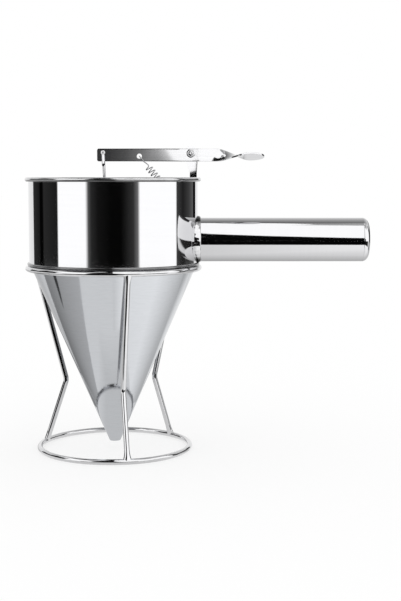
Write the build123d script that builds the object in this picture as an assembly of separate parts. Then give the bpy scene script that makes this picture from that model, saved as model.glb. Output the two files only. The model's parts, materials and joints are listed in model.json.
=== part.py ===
"""Hand-held batter dispenser: a sheet-steel funnel with a thumb-lever valve, standing in a wire stand.

The origin is on the floor under the funnel's axis. +Z is up, +X points along the handle, and the
lever's flat side faces -Y. All sizes are in millimetres.
"""
from build123d import *
import os
from math import atan, cos, pi, radians, sin, sqrt

# Funnel
sheet = 0.8
bowl_radius = 73.3
bowl_height = 71.5
rim_roll_radius = 1.85
seam_bead_radius = 1.2
seam_bead_reach = 0.3
cone_height = 158.2
outlet_radius = 4.8
outlet_clearance = 7.0

# Wire stand
wire_radius = 2.4
base_ring_radius = 65.8
top_ring_overhang = 0.7
funnel_seat_gap = 0.25
leg_names = ("front", "right", "left")
front_leg_turn = 13.0
waist_radius = 46.0
waist_height = 58.8
waist_bend_radius = 9.0
weld_flare_half_width = 4.4
weld_flare_length = 7.0
weld_flare_inset = 0.1

# Handle
handle_radius = 19.05
handle_wall = 1.0
handle_length = 149.5
handle_seam_gap = 0.3
handle_weld_rise = 1.6
handle_weld_reach = 2.7
handle_weld_bite = 0.3
cap_shoulder_radius = 5.5
cap_dome_rise = 1.0
cap_skirt_length = 8.0
cap_skirt_gap = 0.05

# Lever and its pivot
lever_thickness = 1.5
lever_height = 11.05
lever_corner_radius = 1.5
lever_tail = 5.1
hook_arm = 75.9
hook_hole_rise = 0.55
hook_hole_radius = 1.8
spring_arm = 44.5
spring_hole_drop = 2.45
spring_hole_radius = 2.2
pivot_inset = 5.1
pivot_rise = 20.6
pivot_above_lever_bottom = 6.95
twist_start = 16.8
twist_length = 34.8
twist_ease = 7.6
twist_angle = 108.0
pad_width = 18.0
pad_drop = 1.2
pad_swell_start = 35.0
pad_tip = 63.4
pad_tip_round = 13.2
pad_tip_blunt = 0.15
twist_sections = 19

# Pivot fasteners
bolt_radius = 1.5
bolt_head_radius = 2.4
bolt_head_height = 1.6
bolt_head_round = 1.28
bolt_end = 0.6
washer_radius = 3.8
washer_thickness = 0.8
nut_flats = 5.5
nut_height = 2.4
pivot_running_gap = 0.05
fastener_gap = 0.02

# Bracket inside the wall
bracket_sheet = 1.2
ear_radius = 6.4
neck_width = 6.0
neck_rise = 5.0
wall_gap = 0.05
flange_width = 14.0
flange_below_rim = 6.0
bracket_bend_radius = 1.0
anchor_inset = 7.5
anchor_drop = 32.8
anchor_hole_radius = 1.3
anchor_ear_radius = 3.4
anchor_strap_below = 6.0

# Valve rod and stopper plug
rod_radius = 1.25
rod_lever_gap = 0.4
rod_knee_height = 42.0
rod_knee_radius = 60.0
hook_leg_length = 8.5
plug_lift = 4.8
plug_seat_height = 8.0
plug_band_height = 2.0
plug_shoulder_height = 3.0
plug_boss_radius = 3.2
plug_boss_height = 5.0
plug_seat_gap = 0.25
plug_socket_floor = 4.0
plug_nose_chamfer = 0.8

# Return spring
spring_wire_radius = 0.45
spring_coil_radius = 2.85
spring_pitch = 3.3
spring_hook_gap = 0.35
spring_tail = 2.5
spring_lead = 7.0
spring_strand = 3.5

# Heights and radii worked out from the sizes above
outlet_z = outlet_clearance
seam_z = outlet_z + cone_height
rim_z = seam_z + bowl_height
rim_top_z = rim_z + rim_roll_radius
bowl_inner = bowl_radius - sheet
cone_slope = (bowl_radius - outlet_radius) / cone_height
cone_angle = atan(cone_slope)
cone_sheet_across = sheet / cos(cone_angle)
bead_ring_radius = bowl_radius + seam_bead_reach
bead_z = seam_z - seam_bead_radius
top_ring_radius = bead_ring_radius + top_ring_overhang
ring_to_bead = seam_bead_radius + wire_radius + funnel_seat_gap
top_ring_z = bead_z - sqrt(ring_to_bead**2 - top_ring_overhang**2)
base_ring_z = wire_radius
handle_z = seam_z + handle_seam_gap + handle_radius
handle_end_x = bowl_radius + handle_length
tube_end_x = handle_end_x - cap_dome_rise - cap_shoulder_radius
weld_radius = handle_radius + handle_weld_rise
weld_root_x = sqrt(bowl_radius**2 - weld_radius**2)
weld_end_x = bowl_radius + handle_weld_reach
pivot_x = bowl_inner - pivot_inset
pivot_z = rim_top_z + pivot_rise
lever_back_y = -(rod_radius + rod_lever_gap)
lever_front_y = lever_back_y - lever_thickness
lever_mid_y = (lever_back_y + lever_front_y) / 2
lever_bottom_z = pivot_z - pivot_above_lever_bottom
lever_mid_z = lever_bottom_z + lever_height / 2
hook_x = pivot_x - hook_arm
hook_z = pivot_z + hook_hole_rise
spring_hole_x = pivot_x - spring_arm
spring_hole_z = pivot_z - spring_hole_drop
ear_front_y = lever_back_y + pivot_running_gap + washer_thickness
ear_back_y = ear_front_y + bracket_sheet
ear_mid_y = (ear_front_y + ear_back_y) / 2
anchor_x = bowl_inner - anchor_inset
anchor_z = rim_top_z - anchor_drop
plug_z = outlet_z + plug_lift
plug_seat_top_z = plug_z + plug_seat_height
rod_foot_z = plug_z + plug_socket_floor
rod_knee_z = outlet_z + rod_knee_height


def cone_inner_radius(z):
    """Radius of the cone's inner face at a height."""
    return outlet_radius - cone_sheet_across + (z - outlet_z) * cone_slope


def upright(radius, z0, z1):
    """Solid cylinder on the funnel's axis."""
    return Pos(0, 0, (z0 + z1) / 2) * Cylinder(radius, z1 - z0)


def along_handle(radius, x0, x1):
    """Solid cylinder on the handle's axis."""
    return Pos((x0 + x1) / 2, 0, handle_z) * Rot(0, 90, 0) * Cylinder(radius, x1 - x0)


def across_lever(radius, x, z, y0, y1):
    """Solid cylinder along Y, for holes, washers and the bolt."""
    return Pos(x, (y0 + y1) / 2, z) * Rot(90, 0, 0) * Cylinder(radius, y1 - y0)


def plate(outline, y0, y1):
    """Flat sheet between two Y planes, from an outline drawn as (x, z)."""
    return extrude(Plane.XZ.offset(-y1) * outline, amount=y1 - y0)


def block(x0, x1, y0, y1, z0, z1):
    """Box between two corners."""
    return Pos((x0 + x1) / 2, (y0 + y1) / 2, (z0 + z1) / 2) * Box(x1 - x0, y1 - y0, z1 - z0)


def spun(*outlines):
    """Turn outlines drawn as (radius, z) around the funnel's axis, joined into one solid."""
    turned = [revolve(Plane.XZ * outline, Axis.Z) for outline in outlines]
    return turned[0].fuse(*turned[1:]) if len(turned) > 1 else turned[0]


def make_bowl():
    """Straight wall whose top edge is rolled outwards."""
    wall = Polygon(
        (bowl_inner, seam_z), (bowl_radius, seam_z), (bowl_radius, rim_z), (bowl_inner, rim_z), align=None
    )
    roll = Circle(rim_roll_radius) - Circle(rim_roll_radius - sheet)
    roll -= Rectangle(2 * rim_roll_radius, 2 * rim_roll_radius, align=(Align.MAX, Align.MAX))
    return spun(wall, Pos(bowl_inner + rim_roll_radius, rim_z) * roll)


def make_cone():
    """Cone down to the plain outlet, with the bead that rests on the stand."""
    wall = Polygon(
        (bowl_radius - cone_sheet_across, seam_z),
        (bowl_radius, seam_z),
        (outlet_radius, outlet_z),
        (outlet_radius - cone_sheet_across, outlet_z),
        align=None,
    )
    return spun(wall, Pos(bead_ring_radius, bead_z) * Circle(seam_bead_radius))


def make_handle_tube():
    """Tube whose root is cut to the curve of the bowl's wall and is melted down a little under the weld."""
    tube = along_handle(handle_radius, weld_end_x, tube_end_x)
    tube += along_handle(handle_radius - handle_weld_bite, 0, weld_end_x)
    tube -= along_handle(handle_radius - handle_wall, 0, tube_end_x)
    return tube - upright(bowl_radius, seam_z, rim_z)


def make_handle_end_cap():
    """Pressed cap: rounded shoulder, slightly domed end and a skirt inside the tube."""
    bore = handle_radius - 2 * handle_wall - cap_skirt_gap
    flat_x = tube_end_x + cap_shoulder_radius
    with BuildLine() as edge:
        Line((tube_end_x, 0), (tube_end_x, handle_radius))
        shoulder = RadiusArc(
            (tube_end_x, handle_radius), (flat_x, handle_radius - cap_shoulder_radius), cap_shoulder_radius
        )
        SagittaArc(shoulder @ 1, (flat_x, -(handle_radius - cap_shoulder_radius)), cap_dome_rise)
        RadiusArc(
            (flat_x, -(handle_radius - cap_shoulder_radius)), (tube_end_x, -handle_radius), cap_shoulder_radius
        )
        Line((tube_end_x, -handle_radius), (tube_end_x, 0))
    half = make_face(edge.line) & Pos(0, handle_radius) * Rectangle(4 * handle_end_x, 2 * handle_radius)
    shell = Pos(0, 0, handle_z) * revolve(Plane.XZ * half, Axis.X)
    skirt = along_handle(handle_radius - handle_wall - cap_skirt_gap, tube_end_x - cap_skirt_length, tube_end_x)
    hollow_end_x = flat_x - handle_wall
    return shell + skirt - along_handle(bore, tube_end_x - cap_skirt_length, tube_end_x) - along_handle(
        handle_radius - cap_shoulder_radius - handle_wall, tube_end_x, hollow_end_x
    )


def make_handle_weld():
    """Weld in the corner between the handle and the bowl's wall: a collar that runs out on the tube."""
    length = weld_end_x - weld_root_x
    collar = Pos(weld_root_x + length / 2, 0, handle_z) * Rot(0, 90, 0) * Cone(weld_radius, handle_radius, length)
    collar -= along_handle(handle_radius - handle_weld_bite, 0, weld_end_x)
    collar -= upright(bowl_radius, seam_z, rim_z)
    return collar - block(0, weld_end_x, -weld_radius, weld_radius, handle_z - weld_radius, seam_z)


def make_pivot_bracket():
    """One sheet piece: pivot ear above the rim, strap down the wall, spring ear and welded flange."""
    wall_x = bowl_inner - wall_gap
    neck_z = rim_top_z + neck_rise
    strap_bottom_z = anchor_z - anchor_strap_below
    neck_x = wall_x - neck_width / 2
    head = make_hull(
        (
            (Pos(pivot_x, pivot_z) * Circle(ear_radius)).edges()
            + (Pos(neck_x, neck_z) * Circle(neck_width / 2)).edges()
        )
    )
    strap = Pos(neck_x, (neck_z + strap_bottom_z) / 2) * Rectangle(neck_width, neck_z - strap_bottom_z)
    ear = make_hull(
        (
            (Pos(anchor_x, anchor_z) * Circle(anchor_ear_radius)).edges()
            + (Pos(neck_x, anchor_z) * Rectangle(neck_width, 2 * anchor_strap_below)).edges()
        )
    )
    sheet_part = plate(head + strap + ear, ear_front_y, ear_back_y)
    flange_top_z = rim_top_z - flange_below_rim
    curved = upright(bowl_inner, strap_bottom_z, flange_top_z)
    curved -= upright(bowl_inner - bracket_sheet, strap_bottom_z, flange_top_z)
    flange = curved & block(0, bowl_radius, ear_front_y, ear_front_y + flange_width, strap_bottom_z, flange_top_z)
    bracket = sheet_part + flange
    corner_x = sqrt((bowl_inner - bracket_sheet) ** 2 - ear_back_y**2)
    corner = [
        edge
        for edge in bracket.edges()
        if abs((edge @ 0.5).X - corner_x) < 1e-3
        and abs((edge @ 0.5).Y - ear_back_y) < 1e-3
        and edge.length > flange_width
    ]
    bracket = fillet(corner, bracket_bend_radius)
    bracket -= across_lever(bolt_radius + fastener_gap, pivot_x, pivot_z, ear_front_y, ear_back_y)
    return bracket - across_lever(anchor_hole_radius, anchor_x, anchor_z, ear_front_y, ear_back_y)


def make_washer(y0):
    """Plain washer on the pivot bolt, with its front face at y0."""
    disc = across_lever(washer_radius, pivot_x, pivot_z, y0, y0 + washer_thickness)
    return disc - across_lever(bolt_radius + fastener_gap, pivot_x, pivot_z, y0, y0 + washer_thickness)


def make_pivot_bolt():
    """Bolt with a domed head towards -Y."""
    head_y = lever_front_y - pivot_running_gap - washer_thickness
    end_y = ear_back_y + washer_thickness + nut_height + bolt_end
    head = across_lever(bolt_head_radius, pivot_x, pivot_z, head_y - bolt_head_height, head_y)
    rim = head.edges().filter_by(GeomType.CIRCLE).sort_by(Axis.Y)[0]
    head = fillet(rim, bolt_head_round)
    return head + across_lever(bolt_radius, pivot_x, pivot_z, head_y, end_y)


def make_pivot_nut():
    """Hexagon nut behind the bracket's ear."""
    y0 = ear_back_y + washer_thickness
    hexagon = Pos(pivot_x, pivot_z) * RegularPolygon(nut_flats / 2, 6, major_radius=False)
    nut = plate(hexagon, y0, y0 + nut_height)
    return nut - across_lever(bolt_radius + fastener_gap, pivot_x, pivot_z, y0, y0 + nut_height)


def lever_section(x):
    """Cross-section of the lever behind the pivot, rolled about X and widened into the thumb pad."""
    past = x - pivot_x - twist_start
    eased = past - twist_ease / 2 if past > twist_ease else past**2 / (2 * twist_ease)
    along = min(eased / (twist_length - twist_ease / 2), 1)
    roll = radians(twist_angle) * sin(pi / 2 * along)
    pad_full_x = pivot_x + pad_tip + pad_tip_blunt - pad_tip_round
    swell = min(max((x - pivot_x - pad_swell_start) / (pad_full_x - pivot_x - pad_swell_start), 0), 1)
    width = lever_height + (pad_width - lever_height) * swell * swell * (3 - 2 * swell)
    if x > pad_full_x:
        width *= sqrt(1 - ((x - pad_full_x) / pad_tip_round) ** 2)
    centre = Vector(x, lever_mid_y, lever_mid_z - pad_drop * along)
    across = Vector(0, sin(roll), cos(roll))
    return Plane(origin=centre, x_dir=across, z_dir=(1, 0, 0)) * Rectangle(width, lever_thickness)


def make_lever():
    """Flat strip with its holes, twisted behind the pivot into the leaf-shaped thumb pad."""
    left_x = hook_x - lever_tail
    twist_x = pivot_x + twist_start
    length = twist_x - left_x
    strip = plate(
        Pos(left_x + length / 2, lever_mid_z) * Rectangle(length, lever_height), lever_front_y, lever_back_y
    )
    corners = strip.edges().filter_by(Axis.Y).group_by(Axis.X)[0]
    strip = fillet(corners, lever_corner_radius)
    for radius, x, z in (
        (hook_hole_radius, hook_x, hook_z),
        (spring_hole_radius, spring_hole_x, spring_hole_z),
        (bolt_radius + pivot_running_gap, pivot_x, pivot_z),
    ):
        strip -= across_lever(radius, x, z, lever_front_y, lever_back_y)
    step = (pivot_x + pad_tip - twist_x) / (twist_sections - 1)
    pad = loft([lever_section(twist_x + k * step) for k in range(twist_sections)])
    return strip + pad


def make_valve_rod():
    """Wire that rises from the plug, leans to the lever's hole and hooks through it from behind."""
    bend = -lever_mid_y
    lean = Vector(hook_x, 0, hook_z - rod_knee_z).normalized()
    foot = Vector(0, 0, rod_foot_z)
    knee = Vector(0, 0, rod_knee_z)
    apex = Vector(hook_x, lever_mid_y, hook_z)
    rear = apex + Vector(0, bend, 0) - lean * bend
    front = rear - Vector(0, 2 * bend, 0)
    with BuildLine() as path:
        FilletPolyline(foot, knee, rear, radius=rod_knee_radius)
        ThreePointArc(rear, apex, front)
        Line(front, front - lean * hook_leg_length)
    return sweep(Pos(*foot) * Circle(rod_radius), path=path.line)


def make_stopper_plug():
    """Turned plug: conical seat, band, shoulder and the boss that holds the rod's foot."""
    gap = plug_seat_gap / cos(cone_angle)
    nose_radius = cone_inner_radius(plug_z) - gap
    band_radius = cone_inner_radius(plug_seat_top_z) - gap
    band_top_z = plug_seat_top_z + plug_band_height
    boss_z = band_top_z + plug_shoulder_height
    boss_top_z = boss_z + plug_boss_height
    outline = Polygon(
        (0, plug_z),
        (nose_radius - plug_nose_chamfer, plug_z),
        (nose_radius + plug_nose_chamfer * cone_slope, plug_z + plug_nose_chamfer),
        (band_radius, plug_seat_top_z),
        (band_radius, band_top_z),
        (plug_boss_radius, boss_z),
        (plug_boss_radius, boss_top_z),
        (0, boss_top_z),
        align=None,
    )
    return spun(outline) - upright(rod_radius + fastener_gap, rod_foot_z, boss_top_z)


def spring_ends():
    """Axis of the spring: the two points where its hooks lie in their holes, moved to the hooks' strands."""
    lever_turn = lever_thickness / 2 + spring_hook_gap + spring_wire_radius
    ear_turn = bracket_sheet / 2 + spring_hook_gap + spring_wire_radius
    top = Vector(spring_hole_x, lever_mid_y - lever_turn, spring_hole_z)
    foot = Vector(anchor_x, ear_mid_y - ear_turn, anchor_z)
    return top, foot, lever_turn, ear_turn


def make_return_spring():
    """Open-wound extension spring with a hook at each end, each passed through its hole from the front."""
    top, foot, lever_turn, ear_turn = spring_ends()
    reach = (foot - top).length
    coil_start = lever_turn + spring_strand + spring_lead
    coil_end = reach - ear_turn - spring_strand - spring_lead
    turns = max(round((coil_end - coil_start) / spring_pitch), 1)
    pitch = (coil_end - coil_start) / turns
    climb = Vector(0, 2 * pi * spring_coil_radius, pitch).normalized()
    axis_way = Vector(0, 0, 1)
    first = Vector(spring_coil_radius, 0, coil_start)
    last = Vector(spring_coil_radius, 0, coil_end)
    strand_top = Vector(0, 0, lever_turn)
    strand_low = Vector(0, 0, lever_turn + spring_strand)
    foot_high = Vector(0, 0, reach - ear_turn - spring_strand)
    foot_low = Vector(0, 0, reach - ear_turn)
    with BuildLine() as path:
        Line((-2 * lever_turn, 0, lever_turn + spring_tail), (-2 * lever_turn, 0, lever_turn))
        ThreePointArc((-2 * lever_turn, 0, lever_turn), (-lever_turn, 0, 0), strand_top)
        Line(strand_top, strand_low)
        Spline(strand_low, first, tangents=(axis_way, climb))
        Helix(pitch, coil_end - coil_start, spring_coil_radius, center=(0, 0, coil_start))
        Spline(last, foot_high, tangents=(climb, axis_way))
        Line(foot_high, foot_low)
        ThreePointArc(foot_low, (-ear_turn, 0, reach), (-2 * ear_turn, 0, reach - ear_turn))
        Line((-2 * ear_turn, 0, reach - ear_turn), (-2 * ear_turn, 0, reach - ear_turn - spring_tail))
    section = Plane(origin=path.line @ 0, z_dir=path.line % 0) * Circle(spring_wire_radius)
    coil = sweep(section, path=path.line, is_frenet=True)
    return Plane(origin=top, x_dir=(0, -1, 0), z_dir=(foot - top)).location * coil


def make_ring(radius, z):
    """Closed wire ring."""
    return Pos(0, 0, z) * Torus(radius, wire_radius)


def make_leg(turn):
    """Waisted wire leg at an angle from the front, flared where it is welded to both rings."""
    outward = Vector(sin(radians(turn)), -cos(radians(turn)), 0)
    tangent = Vector(cos(radians(turn)), sin(radians(turn)), 0)
    up = Vector(0, 0, 1)
    top = outward * top_ring_radius + up * top_ring_z
    waist = outward * waist_radius + up * waist_height
    foot = outward * base_ring_radius + up * base_ring_z
    with BuildLine() as path:
        FilletPolyline(top, waist, foot, radius=waist_bend_radius)
    leg = sweep(Plane(origin=top, z_dir=waist - top) * Circle(wire_radius), path=path.line)
    slim = wire_radius - weld_flare_inset
    for end in (top, foot):
        way = (waist - end).normalized()
        root = Plane(origin=end, x_dir=tangent, z_dir=way) * Ellipse(weld_flare_half_width, slim)
        tip = Plane(origin=end + way * weld_flare_length, x_dir=tangent, z_dir=way) * Circle(slim)
        leg += loft([root, tip])
    return leg - make_ring(top_ring_radius, top_ring_z) - make_ring(base_ring_radius, base_ring_z)


def make_all():
    """Every piece by its node name."""
    front_washer_y = lever_front_y - pivot_running_gap - washer_thickness
    pieces = {
        "bowl": make_bowl(),
        "cone": make_cone(),
        "handle_tube": make_handle_tube(),
        "handle_end_cap": make_handle_end_cap(),
        "handle_weld": make_handle_weld(),
        "pivot_bracket": make_pivot_bracket(),
        "pivot_bolt": make_pivot_bolt(),
        "pivot_nut": make_pivot_nut(),
        "front_washer": make_washer(front_washer_y),
        "spacer_washer": make_washer(ear_front_y - washer_thickness),
        "rear_washer": make_washer(ear_back_y),
        "lever": make_lever(),
        "valve_rod": make_valve_rod(),
        "stopper_plug": make_stopper_plug(),
        "return_spring": make_return_spring(),
        "stand_top_ring": make_ring(top_ring_radius, top_ring_z),
        "stand_base_ring": make_ring(base_ring_radius, base_ring_z),
    }
    for k, name in enumerate(leg_names):
        pieces[f"stand_leg_{name}"] = make_leg(front_leg_turn + 360 * k / len(leg_names))
    return pieces


os.makedirs("parts", exist_ok=True)
for node, solid in make_all().items():
    export_step(solid, f"parts/{node}.step")
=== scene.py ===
"""Looks of the batter dispenser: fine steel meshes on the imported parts, in a small white studio.

Lengths are in metres, and angles in constants and cards are in degrees. The funnel's axis is Z, the handle
points along +X, and the camera stands on -Y.
"""
import json
from math import asin, atan, cos, degrees, pi, radians, sin, sqrt, tan

import bmesh
import bpy
from mathutils import Matrix, Vector


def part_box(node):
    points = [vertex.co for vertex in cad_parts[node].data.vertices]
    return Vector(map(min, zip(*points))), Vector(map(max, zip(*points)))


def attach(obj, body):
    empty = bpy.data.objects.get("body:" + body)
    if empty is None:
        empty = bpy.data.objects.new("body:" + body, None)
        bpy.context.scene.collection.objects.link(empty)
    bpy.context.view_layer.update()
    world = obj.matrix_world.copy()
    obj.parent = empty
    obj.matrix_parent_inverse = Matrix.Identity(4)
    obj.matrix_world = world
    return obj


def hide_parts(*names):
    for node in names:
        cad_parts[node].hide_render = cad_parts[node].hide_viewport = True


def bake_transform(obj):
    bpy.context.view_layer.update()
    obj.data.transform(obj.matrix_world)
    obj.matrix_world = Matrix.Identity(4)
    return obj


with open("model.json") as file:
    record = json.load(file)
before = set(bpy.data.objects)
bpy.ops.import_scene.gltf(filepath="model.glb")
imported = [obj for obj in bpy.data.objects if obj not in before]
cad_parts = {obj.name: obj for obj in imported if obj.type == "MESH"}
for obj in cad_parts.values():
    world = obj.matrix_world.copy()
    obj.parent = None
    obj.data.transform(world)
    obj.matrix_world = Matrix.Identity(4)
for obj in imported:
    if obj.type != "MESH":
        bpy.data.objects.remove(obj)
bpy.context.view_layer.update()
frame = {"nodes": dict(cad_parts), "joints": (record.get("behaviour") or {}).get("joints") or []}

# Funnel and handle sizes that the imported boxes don't give
SHEET = 0.0008
RIM_ROLL = 0.00185
SEAM_BEAD = 0.0012
SEAM_BEAD_END = -150
OUTLET_RADIUS = 0.0048
HANDLE_WALL = 0.001
CAP_SHOULDER = 0.0055
CAP_SHOULDER_TRIM = 2
WELD_BITE = 0.0003
WELD_RIPPLE = 0.00007
WELD_RIPPLES = 34

# Wire stand
WAIST_RADIUS = 0.046
WAIST_HEIGHT = 0.0588
WAIST_BEND = 0.009
FRONT_LEG_TURN = 13
LEG_NAMES = ("front", "right", "left")
LEG_FLARE = 0.0019
LEG_FLARE_LENGTH = 0.0095

# Pivot hardware
BOLT_SHANK = 0.0015
BOLT_HEAD_ROUND = 0.00128
NUT_CORNER_DROP = 0.00035
NUT_CORNER_SLOPE = 0.55
WASHER_ROUNDING = 0.45
WASHER_SHOULDER = 0.0011
BRACKET_SHEET = 0.0012
BRACKET_EDGE = 0.00045

# Lever
LEVER_THICK = 0.0015
LEVER_HEIGHT = 0.01105
LEVER_CORNER = 0.0015
LEVER_EDGE = 0.00022
TWIST_START = 0.0168
TWIST_LENGTH = 0.0348
TWIST_EASE = 0.0076
TWIST_ANGLE = 108
PAD_WIDTH = 0.018
PAD_DROP = 0.0012
PAD_SWELL_START = 0.035
PAD_TIP_ROUND = 0.0132
PAD_TIP_BLUNT = 0.00015
PAD_TIP_FULL = 0.995
HOOK_HOLE = 0.0018
SPRING_HOLE = 0.0022
PIVOT_HOLE = 0.00155
SPRING_ARM = 0.0445
SPRING_HOLE_DROP = 0.00245
HOLE_CHAMFER = 0.0002

# Rod, plug and spring
ROD_RADIUS = 0.00125
ROD_KNEE_HEIGHT = 0.042
ROD_KNEE_BEND = 0.06
HOOK_LEG = 0.0085
ROD_CUT_SLOPE = 0.8
ROD_CUT_TURN = 0.5
PLUG_BAND = 0.002
PLUG_SHOULDER = 0.003
PLUG_BOSS_RADIUS = 0.0032
PLUG_BOSS = 0.005
PLUG_NOSE_CHAMFER = 0.0008
SPRING_WIRE = 0.00045
SPRING_COIL = 0.00285
SPRING_PITCH = 0.0033
SPRING_HOOK_GAP = 0.00035
SPRING_TAIL = 0.0025
SPRING_LEAD = 0.007
SPRING_STRAND = 0.0035
ANCHOR_INSET = 0.0075
ANCHOR_DROP = 0.0328

# Small roundings of edges, and those of cut wire ends in wire radii
FINE_EDGE = 0.0001
TURNED_EDGE = 0.0002
WIRE_END_LENGTH = 0.4
WIRE_END_WIDTH = 0.7

# Mesh fineness, with two angles in radians, as Blender takes them
LATHE_STEPS = 240
PLUG_STEPS = 96
NUT_STEPS = 96
SMALL_STEPS = 64
RIM_STEPS = 32
RIM_BORE_STEPS = 20
BEAD_STEPS = 24
SHOULDER_STEPS = 20
DOME_STEPS = 13
ROUNDING_STEPS = 10
WIRE_SIDES = 24
BEND_STEPS = 14
KNEE_STEPS = 24
ROD_HOOK_STEPS = 20
SPRING_HOOK_STEPS = 12
COIL_STEPS = 32
LEG_STEP = 0.0014
FACE_ROWS = 12
EDGE_STEPS = 3
CORNER_ROWS = 8
STRAIGHT_ROWS = 12
TWIST_ROWS = 48
TIP_ROWS = 16
CARD_STEPS = 16
SMOOTH_UP_TO = radians(35)
EASED_FROM = radians(40)
SAME_POINT = 0.0000001

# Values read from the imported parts, or worked out from them
bowl_low, bowl_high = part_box("bowl")
cone_low, cone_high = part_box("cone")
tube_low, tube_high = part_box("handle_tube")
cap_low, cap_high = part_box("handle_end_cap")
weld_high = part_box("handle_weld")[1]
lever_low, lever_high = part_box("lever")
joints = {joint["name"]: joint for joint in frame["joints"]}
pivot = Vector(joints["lever_press"]["pos_m"])
hook = Vector(joints["rod_swing"]["pos_m"])
seam_z = bowl_low.z
rim_z = bowl_high.z - RIM_ROLL
bowl_inner = bowl_high.x - 2 * RIM_ROLL
bowl_radius = bowl_inner + SHEET
outlet_z = cone_low.z
bead_ring = cone_high.x - SEAM_BEAD
bead_z = seam_z - SEAM_BEAD
cone_slope = (bowl_radius - OUTLET_RADIUS) / (seam_z - outlet_z)
cone_sheet = SHEET * sqrt(1 + cone_slope**2)
handle_radius = (tube_high.z - tube_low.z) / 2
handle_z = (tube_high.z + tube_low.z) / 2
handle_bore = handle_radius - HANDLE_WALL
tube_end_x = tube_high.x
lever_mid_y = pivot.y
lever_mid_z = lever_high.z - LEVER_HEIGHT / 2
twist_x = pivot.x + TWIST_START
pad_full_x = lever_high.x + PAD_TIP_BLUNT - PAD_TIP_ROUND
spring_hole_x = pivot.x - SPRING_ARM
spring_hole_z = pivot.z - SPRING_HOLE_DROP


# Mesh tools

def turned(steps):
    """Angles of a full turn in equal steps."""
    return [2 * pi * k / steps for k in range(steps)]


def arc(centre, radius, start, end, steps):
    """Points of an arc in a plane, with its angles in degrees."""
    angles = [radians(start + (end - start) * k / steps) for k in range(steps + 1)]
    return [(centre[0] + radius * cos(a), centre[1] + radius * sin(a)) for a in angles]


def about_z(radius, height, angle):
    """Point at a radius and height on the funnel's axis, with angle 0 towards the camera."""
    return Vector((radius * sin(angle), -radius * cos(angle), height))


def about_handle(radius, x, angle):
    """Point at a radius around the handle's axis, with angle 0 straight up."""
    return Vector((x, radius * sin(angle), handle_z + radius * cos(angle)))


def about_pivot(radius, y, angle):
    """Point at a radius around the lever's pivot, with angle 0 straight up."""
    return Vector((pivot.x + radius * sin(angle), y, pivot.z + radius * cos(angle)))


def lathe(outline, place, steps=LATHE_STEPS):
    """Rows of points: a closed outline of (radius, distance) turned once around an axis."""
    return [[place(radius, along, angle) for radius, along in outline] for angle in turned(steps)]


def round_path(corners, radius, steps):
    """Points of a path of straight runs, with an arc of one radius at each inner corner."""
    points = [corners[0]]
    for before, corner, after in zip(corners, corners[1:], corners[2:]):
        come = (corner - before).normalized()
        leave = (after - corner).normalized()
        turn = come.angle(leave)
        start = corner - come * radius * tan(turn / 2)
        centre = corner + (leave - come).normalized() * radius / cos(turn / 2)
        axis = come.cross(leave)
        for k in range(steps + 1):
            points.append(centre + Matrix.Rotation(turn * k / steps, 3, axis) @ (start - centre))
    return points + [corners[-1]]


def spaced(path, step):
    """The same path with points added, about a step apart, along its longer runs."""
    points = [path[0]]
    for start, end in zip(path, path[1:]):
        count = max(1, round((end - start).length / step))
        points += [start.lerp(end, (k + 1) / count) for k in range(count)]
    return points


def sweep(path, widths, side):
    """Rings of points around a path, with two half-widths each: along a side that is carried untwisted
    from ring to ring, and across it."""
    rows = []
    last = len(path) - 1
    for k, (point, (wide, high)) in enumerate(zip(path, widths)):
        ahead = (path[min(k + 1, last)] - path[max(k - 1, 0)]).normalized()
        side = (side - ahead * side.dot(ahead)).normalized()
        up = ahead.cross(side)
        rows.append([point + side * wide * cos(a) + up * high * sin(a) for a in turned(WIRE_SIDES)])
    return rows


def wire(path, radius, side=Vector((0, 1, 0))):
    """Rings of points for a round wire whose cut ends are a little rounded."""
    end_length = WIRE_END_LENGTH * radius
    end_width = WIRE_END_WIDTH * radius
    first = path[0].lerp(path[1], min(1, end_length / (path[1] - path[0]).length))
    final = path[-1].lerp(path[-2], min(1, end_length / (path[-2] - path[-1]).length))
    points = [path[0], first] + path[1:-1] + [final, path[-1]]
    widths = [(end_width, end_width)] + [(radius, radius)] * (len(points) - 2) + [(end_width, end_width)]
    return sweep(points, widths, side)


def skin(name, rows, loop=False):
    """Closed mesh through rows of points: joined in a loop, or ended by flat faces."""
    width = len(rows[0])
    corners = [point for row in rows for point in row]
    faces = []
    for k in range(len(rows) if loop else len(rows) - 1):
        low = k * width
        high = (k + 1) % len(rows) * width
        for j in range(width):
            faces.append((low + j, low + (j + 1) % width, high + (j + 1) % width, high + j))
    if not loop:
        faces.append(tuple(range(width)))
        faces.append(tuple(range(len(corners) - width, len(corners))))
    mesh = bpy.data.meshes.new(name)
    mesh.from_pydata(corners, [], faces)
    return mesh


def finish_mesh(mesh):
    """Points on an axis joined, normals outwards, and smooth shading across gentle edges."""
    form = bmesh.new()
    form.from_mesh(mesh)
    bmesh.ops.remove_doubles(form, verts=form.verts, dist=SAME_POINT)
    loose = [edge for edge in form.edges if not edge.link_faces]
    bmesh.ops.delete(form, geom=loose, context="EDGES")
    bmesh.ops.recalc_face_normals(form, faces=form.faces)
    form.to_mesh(mesh)
    form.free()
    mesh.shade_smooth()
    mesh.set_sharp_from_angle(angle=SMOOTH_UP_TO)


def place_object(name, mesh):
    """New object in the scene with that mesh."""
    thing = bpy.data.objects.new(name, mesh)
    bpy.context.scene.collection.objects.link(thing)
    return thing


def add_piece(name, node, mesh, material=None):
    """Piece that stands for a CAD node, with its body and material, or another material if given."""
    body, slot, usual = LOOKS[node]
    finish_mesh(mesh)
    mesh.materials.append(material or usual)
    piece = place_object(name, mesh)
    piece.modifiers.new("flat faces stay flat", "WEIGHTED_NORMAL").keep_sharp = True
    if body:
        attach(piece, body)
    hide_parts(node)
    return piece


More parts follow.
